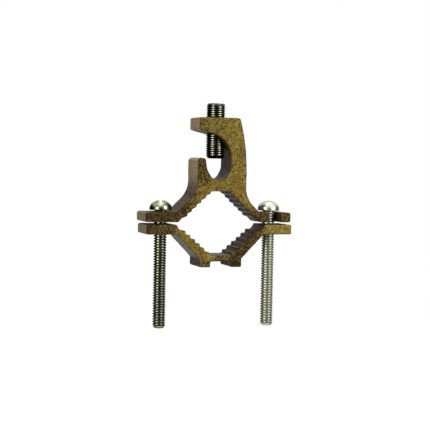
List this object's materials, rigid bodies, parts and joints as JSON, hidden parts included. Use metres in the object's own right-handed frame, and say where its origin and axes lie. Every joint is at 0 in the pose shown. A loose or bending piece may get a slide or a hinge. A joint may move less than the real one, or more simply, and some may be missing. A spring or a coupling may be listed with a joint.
{
  "type": "earth rod clamp",
  "caption": "Cast clamp that grips a rod or pipe between serrated jaws with slotted screws and holds an earth wire in a lay-in hook under a set screw.",
  "frame": {"origin": "the axis of the gripped rod, at the middle of the castings' depth", "axes": "+X along the ears towards the ear with the open slot, +Y along the rod away from the open side of that slot, +Z from the rod towards the hook and the set screw"},
  "size_m": [0.0752, 0.0166, 0.1102],
  "materials": {
    "cast_bronze_upper": "sand cast, patchy brown patina",
    "cast_bronze_lower": "sand cast, patchy brown patina",
    "plated_screw": "dull grey-green plating with bright worn crests",
    "dark_set_screw": "dark oiled steel"
  },
  "bodies": {
    "upper_casting": {"hook_body": "cast_bronze_upper"},
    "left_screw": {"clamp_screw_left": "plated_screw"},
    "jaw": {"lower_jaw": "cast_bronze_lower"},
    "right_screw": {"clamp_screw_right": "plated_screw"},
    "set_screw": {"wire_set_screw": "dark_set_screw"}
  },
  "joints": [
    {"name": "jaw_swing", "type": "hinge", "parent": "upper_casting", "child": "left_screw", "pos_m": [-0.028, 0, 0], "axis": [0, 0, 1], "range_deg": [-180, 0]},
    {"name": "jaw_travel", "type": "slide", "parent": "left_screw", "child": "jaw", "axis": [0, 0, -1], "range_m": [-0.0011, 0.0445]},
    {"name": "right_screw_turn", "type": "hinge", "parent": "left_screw", "child": "right_screw", "pos_m": [0.028, 0, 0], "axis": [0, 0, 1], "range_deg": [-320, 12700]},
    {"name": "set_screw_travel", "type": "slide", "parent": "upper_casting", "child": "set_screw", "axis": [0, 0, -1], "range_m": [-0.01, 0.0068]}
  ],
  "couplings": [
    {"joint": "right_screw_turn", "follows": "jaw_travel", "rad_per_m": 4947.4}
  ]
}
